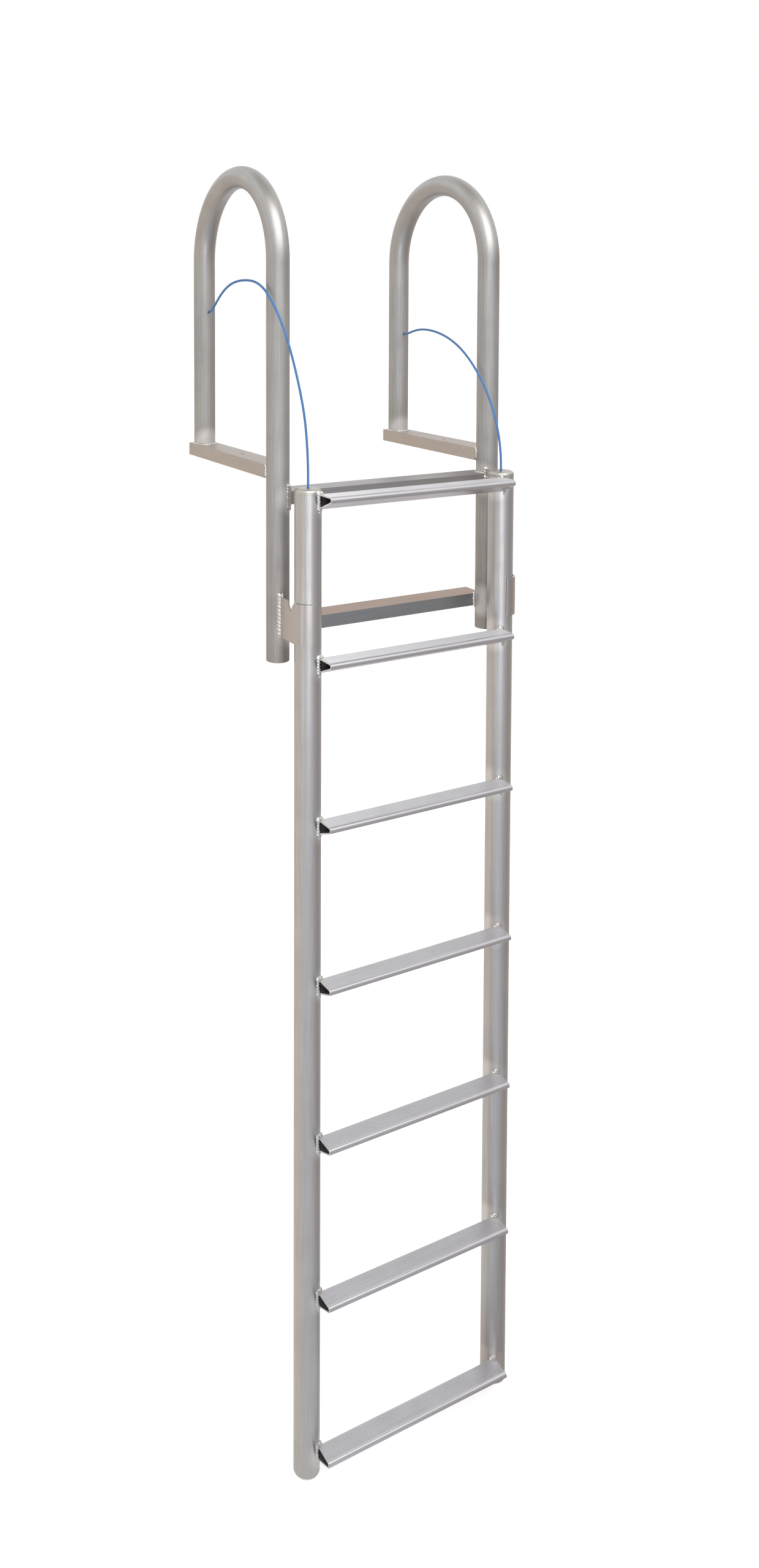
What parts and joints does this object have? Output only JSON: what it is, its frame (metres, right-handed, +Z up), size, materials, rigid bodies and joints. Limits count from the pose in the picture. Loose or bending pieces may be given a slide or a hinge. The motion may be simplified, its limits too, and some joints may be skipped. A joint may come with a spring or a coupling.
{
  "type": "dock ladder",
  "caption": "Slide-up dock ladder: bent-tube handrail loops on deck foot bars, uprights with guide straps, and a tube ladder with hollow treads that lifts straight up.",
  "frame": {"origin": "middle of the left foot bar's flat underside, where it rests on the deck", "axes": "+X to the right as seen from the water, +Y over the deck away from the water, +Z up"},
  "size_m": [0.5471, 0.4964, 2.5025],
  "materials": {
    "tube_aluminium": "satin mill",
    "strap_aluminium": "satin mill",
    "tread_aluminium": "satin extruded",
    "rope": "matte"
  },
  "bodies": {
    "frame": {"left_handrail_loop": "tube_aluminium", "right_handrail_loop": "tube_aluminium", "left_foot_bar": "tube_aluminium", "right_foot_bar": "tube_aluminium", "upper_cross_member": "tube_aluminium", "lower_cross_member": "tube_aluminium", "left_guide_strap": "strap_aluminium", "right_guide_strap": "strap_aluminium", "left_rope": "rope", "right_rope": "rope"},
    "ladder": {"left_rail": "tube_aluminium", "right_rail": "tube_aluminium", "left_rail_cap": "tube_aluminium", "right_rail_cap": "tube_aluminium", "step_1": "tread_aluminium", "step_2": "tread_aluminium", "step_3": "tread_aluminium", "step_4": "tread_aluminium", "step_5": "tread_aluminium", "step_6": "tread_aluminium", "step_7": "tread_aluminium"}
  },
  "joints": [
    {"name": "ladder_slide", "type": "slide", "parent": "frame", "child": "ladder", "axis": [0, 0, 1], "range_m": [0, 0.6], "deforming": ["left_rope", "right_rope"]}
  ]
}
